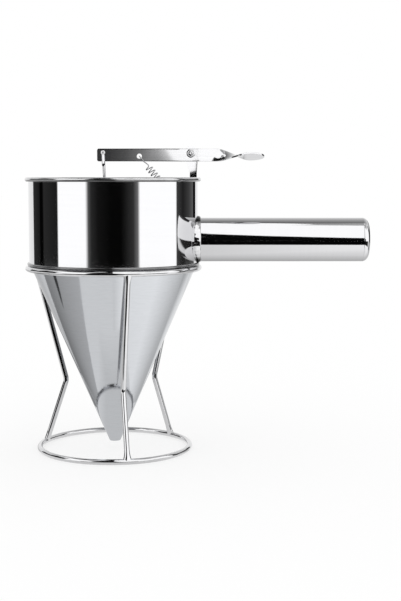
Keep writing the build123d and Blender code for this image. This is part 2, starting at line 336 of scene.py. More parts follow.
def add_turned(name, node, outline, place, steps=LATHE_STEPS, material=None):
    """Piece for a CAD node, turned from an outline."""
    add_piece(name, node, skin(name, lathe(outline, place, steps), True), material)


def cut(mesh, cutters):
    """The mesh with the cutters taken out of it."""
    base = place_object("base", mesh)
    for cutter in cutters:
        tool = place_object("tool", cutter)
        step = base.modifiers.new("cut", "BOOLEAN")
        step.operation = "DIFFERENCE"
        step.solver = "EXACT"
        step.object = tool
    evaluated = base.evaluated_get(bpy.context.evaluated_depsgraph_get())
    result = bpy.data.meshes.new_from_object(evaluated)
    for thing in [step.object for step in base.modifiers] + [base]:
        bpy.data.objects.remove(thing)
    return result


# Materials

MICRON = 0.000001
NEUTRAL = (1.0, 1.0, 1.015)
COOL = (0.972, 0.996, 1.035)
CLOUDS = (14, 14, 14)
CLOUD_DETAIL = 3.0
LINE_DETAIL = 2.0
WAVE_DETAIL = 1.0
NOISE_LOW = 0.3
NOISE_HIGH = 0.7
GLOSSY_SHARE = 0.8
DULL_SHARE = 1.25

# A mix node's sockets for colours, which come after those for numbers and vectors
MIX_SHARE = 0
MIX_FIRST = 6
MIX_SECOND = 7
MIX_RESULT = 2


def set_input(tree, socket, value):
    """Input of a shader node set to a value or linked to another node's output."""
    if isinstance(value, bpy.types.NodeSocket):
        tree.links.new(value, socket)
    else:
        socket.default_value = value


def node_of(tree, kind, **inputs):
    """Shader node with its inputs set by name, with _ for a space."""
    node = tree.nodes.new(kind)
    for name, value in inputs.items():
        set_input(tree, node.inputs[name.replace("_", " ")], value)
    return node


def arithmetic(tree, operation, *values):
    """Result of a sum on numbers or links."""
    node = tree.nodes.new("ShaderNodeMath")
    node.operation = operation
    for socket, value in zip(node.inputs, values):
        set_input(tree, socket, value)
    return node.outputs["Value"]


def mixed(tree, share, first, second):
    """Colour between two others."""
    node = tree.nodes.new("ShaderNodeMix")
    node.data_type = "RGBA"
    set_input(tree, node.inputs[MIX_SHARE], share)
    set_input(tree, node.inputs[MIX_FIRST], first)
    set_input(tree, node.inputs[MIX_SECOND], second)
    return node.outputs[MIX_RESULT]


def noise(tree, scale, detail):
    """Noise stretched by a scale for each axis, in repeats per metre of the part's own frame."""
    where = node_of(tree, "ShaderNodeTexCoord")
    stretched = node_of(tree, "ShaderNodeMapping", Vector=where.outputs["Object"], Scale=scale)
    pattern = node_of(
        tree, "ShaderNodeTexNoise", Vector=stretched.outputs["Vector"], Scale=1.0, Detail=detail,
    )
    return pattern.outputs["Fac"]


def ranged(tree, value, start, end, low=0.0, high=1.0):
    """Value that runs from low to high while another runs from start to end."""
    node = node_of(
        tree, "ShaderNodeMapRange", Value=value, From_Min=start, From_Max=end, To_Min=low, To_Max=high,
    )
    return node.outputs["Result"]


def steel(name, shade, rough, lines, line_depth, contrast, waves=None, wave_depth=0.0, tint=NEUTRAL):
    """Bare steel. Polishing lines run along the axis with the low count, clouds vary the gloss, and
    slow waves bend the reflections as rolled sheet does."""
    material = bpy.data.materials.new(name)
    material.use_nodes = True
    tree = material.node_tree
    shader = tree.nodes["Principled BSDF"]
    shader.inputs["Metallic"].default_value = 1.0
    clouds = noise(tree, CLOUDS, CLOUD_DETAIL)
    grain = noise(tree, lines, LINE_DETAIL)
    dark = [shade * (1 - contrast) * part for part in tint] + [1]
    light = [shade * (1 + contrast) * part for part in tint] + [1]
    colour = mixed(tree, ranged(tree, grain, NOISE_LOW, NOISE_HIGH), dark, light)
    gloss = ranged(tree, clouds, NOISE_LOW, NOISE_HIGH, GLOSSY_SHARE * rough, DULL_SHARE * rough)
    bump = node_of(tree, "ShaderNodeBump", Strength=1.0, Distance=line_depth, Height=grain)
    if waves:
        slow = noise(tree, waves, WAVE_DETAIL)
        bend = node_of(tree, "ShaderNodeBump", Strength=1.0, Distance=wave_depth, Height=slow)
        tree.links.new(bend.outputs["Normal"], bump.inputs["Normal"])
    tree.links.new(colour, shader.inputs["Base Color"])
    tree.links.new(gloss, shader.inputs["Roughness"])
    tree.links.new(bump.outputs["Normal"], shader.inputs["Normal"])
    return material


def paint_shade(material, level, near, far, tone, both_ways=False):
    """Painted shade that thickens from a near to a far distance below a level, or both below and above it.
    """
    tree = material.node_tree
    shader = tree.nodes["Principled BSDF"]
    unshaded = shader.inputs["Base Color"].links[0].from_socket
    where = node_of(tree, "ShaderNodeTexCoord")
    place = node_of(tree, "ShaderNodeSeparateXYZ", Vector=where.outputs["Object"])
    depth = arithmetic(tree, "SUBTRACT", level, place.outputs["Z"])
    if both_ways:
        depth = arithmetic(tree, "ABSOLUTE", depth)
    colour = mixed(tree, ranged(tree, depth, near, far), unshaded, (tone, tone, tone, 1))
    tree.links.new(colour, shader.inputs["Base Color"])


polished = steel(
    "polished_steel", shade=0.68, rough=0.04, lines=(25, 25, 700), line_depth=0.04 * MICRON,
    contrast=0.006, waves=(18, 18, 9), wave_depth=50 * MICRON,
)
polished_tube = steel(
    "polished_tube_steel", shade=0.66, rough=0.04, lines=(500, 25, 25), line_depth=0.05 * MICRON,
    contrast=0.006, waves=(12, 30, 30), wave_depth=3 * MICRON,
)
rim_steel = steel(
    "rim_steel", shade=0.60, rough=0.14, lines=(400, 400, 400), line_depth=0.4 * MICRON,
    contrast=0.03,
)
# Painted shade: dark steel for the seam bead, standing in for the shade and dark reflections along the
# seam.
shaded_seam_steel = steel(
    "shaded_seam_steel", shade=0.22, rough=0.14, lines=(400, 400, 400), line_depth=0.4 * MICRON,
    contrast=0.05,
)
satin = steel(
    "satin_steel", shade=0.60, rough=0.08, lines=(120, 120, 1200), line_depth=0.5 * MICRON,
    contrast=0.02, waves=(40, 40, 4), wave_depth=30 * MICRON, tint=COOL,
)
brushed = steel(
    "brushed_steel", shade=0.67, rough=0.07, lines=(25, 1500, 1500), line_depth=0.5 * MICRON,
    contrast=0.05,
)
wire_steel = steel(
    "drawn_wire_steel", shade=0.66, rough=0.05, lines=(300, 300, 300), line_depth=0.3 * MICRON,
    contrast=0.03,
)
weld_steel = steel(
    "weld_steel", shade=0.64, rough=0.08, lines=(500, 500, 500), line_depth=2 * MICRON,
    contrast=0.06,
)
washer_steel = steel(
    "washer_steel", shade=0.62, rough=0.06, lines=(400, 400, 400), line_depth=0.3 * MICRON,
    contrast=0.05,
)
turned_metal = steel(
    "turned_steel", shade=0.60, rough=0.06, lines=(200, 2500, 200), line_depth=0.3 * MICRON,
    contrast=0.05,
)
# Painted shade: the rod's nipped end is near black; its roughness is that of the rough cut face.
shaded_cut_steel = steel(
    "shaded_cut_steel", shade=0.05, rough=0.35, lines=(600, 600, 600), line_depth=2 * MICRON,
    contrast=0.2,
)
spring_steel = steel(
    "spring_steel", shade=0.60, rough=0.12, lines=(500, 500, 500), line_depth=0.6 * MICRON,
    contrast=0.05,
)
# Painted shade under the rim's roll: its colour darkens below the rim's level, where the roll shades its
# own underside.
paint_shade(rim_steel, level=rim_z, near=0.0, far=0.0011, tone=0.12)
# Painted shade on the weld bead: its colour darkens towards the top and bottom of the handle's root, where
# it sits in the crevices.
paint_shade(
    weld_steel, level=handle_z, near=0.72 * handle_radius, far=0.88 * handle_radius,
    tone=0.03, both_ways=True,
)

# Body, slot and material of each CAD node. The spring has no body of its own.
LOOKS = {
    "bowl": ("funnel", "polished_sheet", polished),
    "cone": ("funnel", "satin_sheet", satin),
    "handle_tube": ("funnel", "polished_sheet", polished_tube),
    "handle_end_cap": ("funnel", "polished_sheet", polished_tube),
    "handle_weld": ("funnel", "polished_sheet", weld_steel),
    "front_washer": ("funnel", "turned_steel", washer_steel),
    "spacer_washer": ("funnel", "turned_steel", washer_steel),
    "rear_washer": ("funnel", "turned_steel", washer_steel),
    "pivot_bolt": ("funnel", "turned_steel", turned_metal),
    "pivot_nut": ("funnel", "turned_steel", turned_metal),
    "lever": ("lever", "brushed_strip", brushed),
    "valve_rod": ("rod", "bright_wire", wire_steel),
    "stopper_plug": ("rod", "turned_steel", turned_metal),
    "return_spring": (None, "spring_wire", spring_steel),
    "stand_top_ring": ("stand", "bright_wire", wire_steel),
    "stand_base_ring": ("stand", "bright_wire", wire_steel),
    "stand_leg_front": ("stand", "bright_wire", wire_steel),
    "stand_leg_right": ("stand", "bright_wire", wire_steel),
    "stand_leg_left": ("stand", "bright_wire", wire_steel),
}


# Funnel

def make_bowl():
    """Straight wall, and its rim rolled outwards and brushed."""
    outline = [(bowl_inner, seam_z), (bowl_inner, rim_z), (bowl_radius, rim_z), (bowl_radius, seam_z)]
    add_turned("bowl_wall", "bowl", outline, about_z)
    roll = (bowl_inner + RIM_ROLL, rim_z)
    outline = arc(roll, RIM_ROLL, 180, -90, RIM_STEPS)
    outline += arc(roll, RIM_ROLL - SHEET, -90, 180, RIM_BORE_STEPS)
    # The rim's steel carries painted shade on the underside of the roll.
    add_turned("bowl_rim", "bowl", outline, about_z, material=rim_steel)


def make_cone():
    """Cone with the bead under the seam and a small rounding at the outlet."""
    inner_top = bowl_radius - cone_sheet
    inner_end = OUTLET_RADIUS - cone_sheet
    bead = arc((bead_ring, bead_z), SEAM_BEAD, 90, SEAM_BEAD_END, BEAD_STEPS)
    # The bead under the seam has painted shade in its dark steel.
    add_turned("cone_bead", "cone", [(inner_top, seam_z)] + bead, about_z, material=shaded_seam_steel)
    outline = [
        (inner_top, seam_z),
        bead[-1],
        (OUTLET_RADIUS + FINE_EDGE * cone_slope, outlet_z + FINE_EDGE),
        (OUTLET_RADIUS - FINE_EDGE, outlet_z),
        (inner_end + FINE_EDGE, outlet_z),
        (inner_end + FINE_EDGE * cone_slope, outlet_z + FINE_EDGE),
    ]
    add_turned("cone_wall", "cone", outline, about_z)


def wall_x(y):
    """Where the bowl's outer face lies at a distance to the side."""
    return sqrt(bowl_radius**2 - y**2)


def make_handle():
    """Tube cut to the bowl's wall."""
    rows = []
    for angle in turned(LATHE_STEPS):
        rows.append([
            about_handle(handle_bore, wall_x(handle_bore * sin(angle)), angle),
            about_handle(handle_radius, wall_x(handle_radius * sin(angle)), angle),
            about_handle(handle_radius, tube_end_x - FINE_EDGE, angle),
            about_handle(handle_radius - FINE_EDGE, tube_end_x, angle),
            about_handle(handle_bore, tube_end_x, angle),
        ])
    add_piece("handle_wall", "handle_tube", skin("handle_wall", rows, True))


def make_handle_cap():
    """Pressed cap with a round shoulder, a slightly domed face and a skirt inside the tube."""
    flat_radius = handle_radius - CAP_SHOULDER
    flat_x = tube_end_x + CAP_SHOULDER
    rise = cap_high.x - flat_x
    dome = (flat_radius**2 + rise**2) / (2 * rise)
    outline = [(handle_radius - FINE_EDGE, tube_end_x)]
    centre = (tube_end_x, flat_radius)
    shoulder = arc(centre, CAP_SHOULDER, 90 - CAP_SHOULDER_TRIM, CAP_SHOULDER_TRIM, SHOULDER_STEPS)
    outline += [(r, x) for x, r in shoulder]
    for k in reversed(range(DOME_STEPS)):
        radius = flat_radius * k / DOME_STEPS
        outline.append((radius, cap_high.x - dome + sqrt(dome**2 - radius**2)))
    inner_shoulder = CAP_SHOULDER - HANDLE_WALL
    skirt = handle_bore - HANDLE_WALL
    skirt_turn = degrees(asin((skirt - flat_radius) / inner_shoulder))
    outline.append((0, flat_x - HANDLE_WALL))
    inside = arc(centre, inner_shoulder, 0, skirt_turn, ROUNDING_STEPS)
    outline += [(r, x) for x, r in inside]
    outline += [
        (skirt, cap_low.x),
        (handle_bore - FINE_EDGE, cap_low.x),
        (handle_bore - FINE_EDGE, tube_end_x),
    ]
    add_turned("handle_cap", "handle_end_cap", outline, about_handle)


def make_handle_weld():
    """Polished weld bead around the handle's root, a little uneven, and flat where it meets the seam."""
    rise = weld_high.y - handle_radius
    inner = handle_radius - WELD_BITE
    lowest = handle_z - seam_z
    rows = []
    for angle in turned(LATHE_STEPS):
        outer = handle_radius + rise + WELD_RIPPLE * sin(WELD_RIPPLES * angle)
        if cos(angle) < 0:
            outer = min(outer, -lowest / cos(angle))
        root_x = wall_x(outer * sin(angle))
        row = [about_handle(inner, wall_x(inner * sin(angle)), angle)]
        for k in range(ROUNDING_STEPS + 1):
            share = k / ROUNDING_STEPS
            radius = handle_radius + (outer - handle_radius) * sqrt(1 - share**2)
            row.append(about_handle(radius, root_x + (weld_high.x - root_x) * share, angle))
        row.append(about_handle(inner, weld_high.x, angle))
        rows.append(row)
    add_piece("handle_root_weld", "handle_weld", skin("handle_root_weld", rows, True))


# Pivot hardware

def make_washer(node):
    """Washer with rounded edges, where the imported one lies."""
    low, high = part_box(node)
    edge = (high.y - low.y) * WASHER_ROUNDING
    flat = (high.x - low.x) / 2 - WASHER_SHOULDER
    outline = [(PIVOT_HOLE, low.y)]
    for y, r in arc((0, 0), 1, 180, 90, ROUNDING_STEPS):
        outline.append((flat + r * WASHER_SHOULDER, low.y + edge + y * edge))
    for y, r in arc((0, 0), 1, 90, 0, ROUNDING_STEPS):
        outline.append((flat + r * WASHER_SHOULDER, high.y - edge + y * edge))
    outline.append((PIVOT_HOLE, high.y))
    add_turned(f"{node}_disc", node, outline, about_pivot, SMALL_STEPS)


def make_pivot_bolt():
    """Bolt with a domed head, and a shank that ends behind the nut."""
    low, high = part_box("pivot_bolt")
    head = (high.x - low.x) / 2
    seat_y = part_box("front_washer")[0].y
    centre = (low.y + BOLT_HEAD_ROUND, head - BOLT_HEAD_ROUND)
    outline = [(0, low.y), (head - BOLT_HEAD_ROUND, low.y)]
    outline += [(r, y) for y, r in arc(centre, BOLT_HEAD_ROUND, 180, 90, ROUNDING_STEPS)]
    outline += [
        (head, seat_y),
        (BOLT_SHANK, seat_y),
        (BOLT_SHANK, high.y - TURNED_EDGE),
        (BOLT_SHANK - TURNED_EDGE, high.y),
        (0, high.y),
    ]
    add_turned("bolt_body", "pivot_bolt", outline, about_pivot, SMALL_STEPS)


def make_pivot_nut():
    """Hexagon nut with turned corners."""
    low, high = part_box("pivot_nut")
    flats = (high.z - low.z) / 2
    rows = []
    for angle in turned(NUT_STEPS):
        to_flat = (angle + pi / 6) % (pi / 3) - pi / 6
        across = flats / cos(to_flat)
        lowered = min(NUT_CORNER_DROP, NUT_CORNER_SLOPE * (across - flats + FINE_EDGE))
        outline = [
            (PIVOT_HOLE, low.y),
            (flats - FINE_EDGE, low.y),
            (across, low.y + lowered),
            (across, high.y - lowered),
            (flats - FINE_EDGE, high.y),
            (PIVOT_HOLE, high.y),
        ]
        rows.append([about_pivot(radius, y, angle) for radius, y in outline])
    add_piece("nut_body", "pivot_nut", skin("nut_body", rows, True))


def dress_bracket():
    """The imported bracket, with its sheared edges eased."""
    bracket = frame["nodes"]["pivot_bracket"]
    bracket.data.materials.clear()
    bracket.data.materials.append(polished)
    bracket.modifiers.new("joined faces", "WELD").merge_threshold = 2 * MICRON
    edges = bracket.modifiers.new("eased edges", "BEVEL")
    edges.width = BRACKET_EDGE
    edges.segments = EDGE_STEPS
    edges.limit_method = "ANGLE"
    edges.angle_limit = EASED_FROM
    bracket.modifiers.new("flat faces stay flat", "WEIGHTED_NORMAL").keep_sharp = True


# Lever, rod, plug and spring

def twist_share(x):
    """Share of the lever's twist that is reached at a place, with an eased start."""
    past = max(x - twist_x, 0)
    eased = past - TWIST_EASE / 2 if past > TWIST_EASE else past**2 / (2 * TWIST_EASE)
    return min(eased / (TWIST_LENGTH - TWIST_EASE / 2), 1)


def strip_width(x):
    """Width of the lever: rounded at its hook end, even along the strip, and a leaf at the thumb pad."""
    swell_start_x = pivot.x + PAD_SWELL_START
    swell = min(max((x - swell_start_x) / (pad_full_x - swell_start_x), 0), 1)
    width = LEVER_HEIGHT + (PAD_WIDTH - LEVER_HEIGHT) * swell * swell * (3 - 2 * swell)
    if x > pad_full_x:
        width *= sqrt(1 - (PAD_TIP_FULL * (x - pad_full_x) / (lever_high.x - pad_full_x)) ** 2)
    from_end = x - lever_low.x
    if from_end < LEVER_CORNER:
        width -= 2 * (LEVER_CORNER - sqrt(LEVER_CORNER**2 - (LEVER_CORNER - from_end) ** 2))
    return width


def lever_ring(x):
    """Cross-section of the lever: a strip with eased edges, rolled about X."""
    share = twist_share(x)
    roll = radians(TWIST_ANGLE) * sin(pi / 2 * share)
    flat = strip_width(x) / 2 - LEVER_EDGE
    centre = Vector((x, lever_mid_y, lever_mid_z - PAD_DROP * share))
    across = Vector((0, sin(roll), cos(roll)))
    through = Vector((0, cos(roll), -sin(roll)))
    ring = []
    for turn, (side, front) in enumerate(((1, 1), (-1, 1), (-1, -1), (1, -1))):
        middle = across * side * flat + through * front * (LEVER_THICK / 2 - LEVER_EDGE)
        for k in range(EDGE_STEPS + 1):
            a = radians(90 * turn + 90 * k / EDGE_STEPS)
            ring.append(centre + middle + LEVER_EDGE * (across * cos(a) + through * sin(a)))
        # A wide face follows the first and the third corner
        if side == front:
            edge = ring[-1]
            ring += [edge - across * side * flat * 2 * k / FACE_ROWS for k in range(1, FACE_ROWS)]
    return ring


def hole_cutter(radius, x, z):
    """Cutter for a hole through the lever, wider at both faces, which leaves a chamfer."""
    reach = LEVER_THICK
    half = LEVER_THICK / 2
    wide = radius + HOLE_CHAMFER + reach - half
    outline = [
        (0, -reach),
        (wide, -reach),
        (radius, HOLE_CHAMFER - half),
        (radius, half - HOLE_CHAMFER),
        (wide, reach),
        (0, reach),
    ]

    def around(r, y, angle):
        return Vector((x + r * sin(angle), lever_mid_y + y, z + r * cos(angle)))

    mesh = skin("cutter", lathe(outline, around, SMALL_STEPS), True)
    finish_mesh(mesh)
    return mesh


def lever_stations():
    """Places of the lever's cross-sections: close together at both rounded ends and along the twist."""
    straight_x = lever_low.x + LEVER_CORNER
    straight = twist_x - lever_low.x - LEVER_CORNER
    tip = lever_high.x - pad_full_x
    stations = [
        lever_low.x + LEVER_CORNER * (1 - cos(pi / 2 * k / CORNER_ROWS)) for k in range(CORNER_ROWS + 1)
    ]
    stations[0] += FINE_EDGE / 4
    stations += [straight_x + straight * k / STRAIGHT_ROWS for k in range(1, STRAIGHT_ROWS + 1)]
    stations += [twist_x + (pad_full_x - twist_x) * k / TWIST_ROWS for k in range(1, TWIST_ROWS + 1)]
    stations += [pad_full_x + tip * sin(pi / 2 * k / TIP_ROWS) for k in range(1, TIP_ROWS + 1)]
    return stations


def make_lever():
    """Strip with three holes, twisted behind the pivot into the leaf-shaped thumb pad."""
    mesh = skin("lever_arm", [lever_ring(x) for x in lever_stations()])
    finish_mesh(mesh)
    cutters = [
        hole_cutter(HOOK_HOLE, hook.x, hook.z),
        hole_cutter(SPRING_HOLE, spring_hole_x, spring_hole_z),
        hole_cutter(PIVOT_HOLE, pivot.x, pivot.z),
    ]
    mesh = cut(mesh, cutters)
    mesh.name = "lever_arm"
    add_piece("lever_arm", "lever", mesh)


def make_rod():
    """Wire from the plug to the lever's hole. It hooks through from behind, and its end is nipped off."""
    foot = Vector((0, 0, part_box("valve_rod")[0].z))
    knee = Vector((0, 0, outlet_z + ROD_KNEE_HEIGHT))
    bend = -lever_mid_y
    lean = Vector((hook.x, 0, hook.z - knee.z)).normalized()
    rear = hook + Vector((0, bend, 0)) - lean * bend
    path = round_path([foot, knee, rear], ROD_KNEE_BEND, KNEE_STEPS)
    for k in range(1, ROD_HOOK_STEPS + 1):
        angle = pi * k / ROD_HOOK_STEPS
        path.append(hook - lean * bend + Vector((0, bend * cos(angle), 0)) + lean * bend * sin(angle))
    end = path[-1] - lean * HOOK_LEG
    rings = wire(path + [end], ROD_RADIUS)
    for ring in rings[-2:]:
        for point in ring:
            towards = (end.y - point.y) + ROD_CUT_TURN * (point.x - end.x)
            point += lean * ROD_CUT_SLOPE * towards
    add_piece("rod_wire", "valve_rod", skin("rod_wire", rings[:-1]))
    # The nipped end's near-black steel is painted shade.
    add_piece("rod_tip", "valve_rod", skin("rod_tip", rings[-2:]), shaded_cut_steel)


def make_plug():
    """Turned plug with a conical seat, a band, a shoulder and the boss that holds the rod."""
    low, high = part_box("stopper_plug")
    band_radius = high.x
    boss_low = high.z - PLUG_BOSS
    band_top = boss_low - PLUG_SHOULDER
    band_low = band_top - PLUG_BAND
    nose = band_radius - (band_low - low.z) * cone_slope
    outline = [
        (0, low.z),
        (nose - PLUG_NOSE_CHAMFER, low.z),
        (nose + PLUG_NOSE_CHAMFER * cone_slope, low.z + PLUG_NOSE_CHAMFER),
        (band_radius, band_low),
        (band_radius, band_top - TURNED_EDGE),
        (band_radius - TURNED_EDGE, band_top),
        (PLUG_BOSS_RADIUS, boss_low),
        (PLUG_BOSS_RADIUS, high.z - TURNED_EDGE),
        (PLUG_BOSS_RADIUS - TURNED_EDGE, high.z),
        (ROD_RADIUS, high.z),
        (ROD_RADIUS, boss_low),
        (0, boss_low),
    ]
    add_turned("plug_body", "stopper_plug", outline, about_z, PLUG_STEPS)


def bend_between(start, start_way, end, end_way):
    """Points of a smooth bend from one place and direction to another, without its start."""
    reach = (end - start).length
    points = []
    for k in range(1, BEND_STEPS + 1):
        t = k / BEND_STEPS
        left = (2 * t**3 - 3 * t**2 + 1) * start + (t**3 - 2 * t**2 + t) * reach * start_way
        points.append(left + (3 * t**2 - 2 * t**3) * end + (t**3 - t**2) * reach * end_way)
    return points


def hook_arc(turn, z, way):
    """Half turn at an end of the spring, in the spring's own frame, from the strand to the tail."""
    angles = [pi * k / SPRING_HOOK_STEPS for k in range(SPRING_HOOK_STEPS + 1)]
    return [Vector((-turn * (1 - cos(a)), 0, z + way * turn * sin(a))) for a in angles]


def spring_path(reach, lever_turn, ear_turn):
    """Middle of the spring's wire in its own frame, with Z from the lever's hole to the ear's hole."""
    start = lever_turn + SPRING_STRAND + SPRING_LEAD
    end = reach - ear_turn - SPRING_STRAND - SPRING_LEAD
    turns = round((end - start) / SPRING_PITCH)
    up = Vector((0, 0, 1))
    climb = Vector((0, 2 * pi * SPRING_COIL, (end - start) / turns)).normalized()
    path = [Vector((-2 * lever_turn, 0, lever_turn + SPRING_TAIL))]
    path += reversed(hook_arc(lever_turn, lever_turn, -1))
    path.append(up * (lever_turn + SPRING_STRAND))
    path += bend_between(path[-1], up, Vector((SPRING_COIL, 0, start)), climb)
    steps = COIL_STEPS * turns
    for k in range(1, steps + 1):
        angle = 2 * pi * turns * k / steps
        height = start + (end - start) * k / steps
        path.append(Vector((SPRING_COIL * cos(angle), SPRING_COIL * sin(angle), height)))
    path += bend_between(path[-1], climb, up * (end + SPRING_LEAD), up)
    path += hook_arc(ear_turn, reach - ear_turn, 1)
    path.append(Vector((-2 * ear_turn, 0, reach - ear_turn - SPRING_TAIL)))
    return path


def make_spring():
    """Extension spring from the lever's hole to the bracket's lower ear, with a hook at each end."""
    ear_mid_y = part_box("pivot_bracket")[0].y + BRACKET_SHEET / 2
    lever_turn = LEVER_THICK / 2 + SPRING_HOOK_GAP + SPRING_WIRE
    ear_turn = BRACKET_SHEET / 2 + SPRING_HOOK_GAP + SPRING_WIRE
    top = Vector((spring_hole_x, lever_mid_y - lever_turn, spring_hole_z))
    foot = Vector((bowl_inner - ANCHOR_INSET, ear_mid_y - ear_turn, bowl_high.z - ANCHOR_DROP))
    down = (foot - top).normalized()
    across = (Vector((0, -1, 0)) - down * -down.y).normalized()
    turn = Matrix((across, down.cross(across), down)).transposed()
    path = [top + turn @ point for point in spring_path((foot - top).length, lever_turn, ear_turn)]
    mesh = skin("spring_coil", wire(path, SPRING_WIRE, across))
    spring = add_piece("spring_coil", "return_spring", mesh)
    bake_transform(spring)


# Wire stand

def make_ring(node, name):
    """Closed wire ring."""
    low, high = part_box(node)
    radius = (high.z - low.z) / 2
    centre = (high.x - radius, (high.z + low.z) / 2)
    outline = arc(centre, radius, 0, 360 - 360 / WIRE_SIDES, WIRE_SIDES - 1)
    add_turned(name, node, outline, about_z)


def make_legs():
    """Three waisted legs that spread into a weld where they meet each ring."""
    top_low, top_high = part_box("stand_top_ring")
    base_low, base_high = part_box("stand_base_ring")
    radius = (top_high.z - top_low.z) / 2
    for k, name in enumerate(LEG_NAMES):
        angle = radians(FRONT_LEG_TURN + 360 * k / len(LEG_NAMES))
        top = about_z(top_high.x - radius, (top_high.z + top_low.z) / 2, angle)
        waist = about_z(WAIST_RADIUS, WAIST_HEIGHT, angle)
        foot = about_z(base_high.x - radius, (base_high.z + base_low.z) / 2, angle)
        path = spaced(round_path([top, waist, foot], WAIST_BEND, BEND_STEPS), LEG_STEP)
        widths = []
        for point in path:
            near = min((point - top).length, (point - foot).length)
            flare = LEG_FLARE * max(1 - near / LEG_FLARE_LENGTH, 0) ** 2
            widths.append((radius + flare, radius))
        side = Vector((cos(angle), sin(angle), 0))
        mesh = skin(f"{name}_leg_wire", sweep(path, widths, side))
        add_piece(f"{name}_leg_wire", f"stand_leg_{name}", mesh)


make_bowl()
make_cone()
make_handle()
make_handle_cap()
make_handle_weld()
for washer in ("front_washer", "spacer_washer", "rear_washer"):
    make_washer(washer)
make_pivot_bolt()
make_pivot_nut()
make_lever()
make_rod()
make_plug()
make_spring()
make_ring("stand_top_ring", "top_ring_wire")
make_ring("stand_base_ring", "base_ring_wire")
make_legs()
dress_bracket()


# Studio: cards that glow in grey tones, where 1 is white on the picture and WHITE is a lamp

WHITE = 1.45
BLACK = 0.002

# Curved cards stand on two spheres, between heights in degrees
CARD_CENTRE_Z = 0.2
LAMP_DISTANCE = 2.0
FLAG_DISTANCE = 1.9
STRAIGHT_DOWN = -90
TABLE_EDGE = -25
LAMP_FOOT = -5.5
FLAG_TOP = 35
LAMP_TOP = 60
CEILING_TOP = 79.5
FRONT_FLAG_TOP = 88
STRAIGHT_UP = 90

# Flat cards stand close to the object
LOW_FLAG_Y = -0.5
LEVER_CARD_Y = -0.3
LEVER_CARD_LOW = 0.2462
LEVER_CARD_HIGH = 0.285
LEG_FLAG_Y = -0.24
SIDE_FLAG_X = -0.15
TWIST_CARD_Y = -0.08
TWIST_CARD_HIGH = 0.4
TWIST_FLAG_LOW = 0.267
TWIST_FLAG_HIGH = 0.42
HOOK_FLAG_LOW = 0.25
HOOK_CARD_Y = -0.0066
HOOK_CARD_LOW = 0.2505
HOOK_CARD_HIGH = 0.2585
BOARD_Z = -0.5
BOARD_FRONT = -0.7
BOARD_BACK = 0.8


def glow(name, tone):
    """Evenly lit surface of a grey tone."""
    material = bpy.data.materials.new(name)
    material.use_nodes = True
    tree = material.node_tree
    tree.nodes.remove(tree.nodes["Principled BSDF"])
    light = node_of(tree, "ShaderNodeEmission", Color=(tone, tone, tone, 1), Strength=1.0)
    tree.links.new(light.outputs["Emission"], tree.nodes["Material Output"].inputs["Surface"])
    return material


def light_card(name, corners, faces, tones):
    """Card whose corners glow in their own tones, seen only in reflections."""
    mesh = bpy.data.meshes.new(name)
    mesh.from_pydata(corners, [], faces)
    mesh.attributes.new("tone", "FLOAT", "POINT").data.foreach_set("value", tones)
    material = glow(name, 1)
    tree = material.node_tree
    tone = tree.nodes.new("ShaderNodeAttribute")
    tone.attribute_name = "tone"
    tree.links.new(tone.outputs["Fac"], tree.nodes["Emission"].inputs["Strength"])
    mesh.materials.append(material)
    thing = place_object(name, mesh)
    thing.visible_camera = False
    thing.visible_diffuse = False
    thing.visible_shadow = False
    thing.visible_transmission = False


def card(name, distance, edges, foot_tone=None):
    """Curved card around the object. Its edges are (azimuth, lowest, highest, tone), with azimuth 0 on the
    camera's side and growing to the right. The tone fades from edge to edge, and down to a foot tone."""
    centre = Vector((0, 0, CARD_CENTRE_Z))
    corners = []
    tones = []
    faces = []
    for start, end in zip(edges, edges[1:]):
        first = len(corners)
        for k in range(CARD_STEPS + 1):
            azimuth, low, high, tone = [a + (b - a) * k / CARD_STEPS for a, b in zip(start, end)]
            for j in range(CARD_STEPS + 1):
                share = j / CARD_STEPS
                height = radians(low + (high - low) * share)
                corners.append(centre + distance * about_z(cos(height), sin(height), radians(azimuth)))
                tones.append(tone if foot_tone is None else foot_tone + (tone - foot_tone) * share)
        for k in range(CARD_STEPS):
            for j in range(CARD_STEPS):
                corner = first + k * (CARD_STEPS + 1) + j
                faces.append((corner, corner + CARD_STEPS + 1, corner + CARD_STEPS + 2, corner + 1))
    light_card(name, corners, faces, tones)


def band(low, high, tones):
    """Edges of a curved card of even height, from pairs of azimuth and tone."""
    return [(azimuth, low, high, tone) for azimuth, tone in tones]


def flat_card(name, pairs):
    """Flat card close to the object, between pairs of corners with a tone for each pair."""
    corners = [corner for first, second, _ in pairs for corner in (first, second)]
    faces = [(k, k + 2, k + 3, k + 1) for k in range(0, len(corners) - 2, 2)]
    light_card(name, corners, faces, [tone for *_, tone in pairs for _ in range(2)])


def upright_card(name, y, edges):
    """Flat card that faces the object along Y. Its edges are (low x, low z, high x, high z, tone)."""
    flat_card(name, [((x, y, z), (high_x, y, high_z), tone) for x, z, high_x, high_z, tone in edges])


def soft_card(name, middle, along, across, tone, edge_tone):
    """Flat card that is even in its middle and fades to another tone at its edges."""
    steps = (-1, -0.5, 0.5, 1)
    row = len(steps)
    corners = [middle + along * a + across * b for a in steps for b in steps]
    tones = [edge_tone if 1 in (abs(a), abs(b)) else tone for a in steps for b in steps]
    starts = [k for k in range(row * (row - 1)) if k % row < row - 1]
    light_card(name, corners, [(k, k + row, k + row + 1, k + 1) for k in starts], tones)


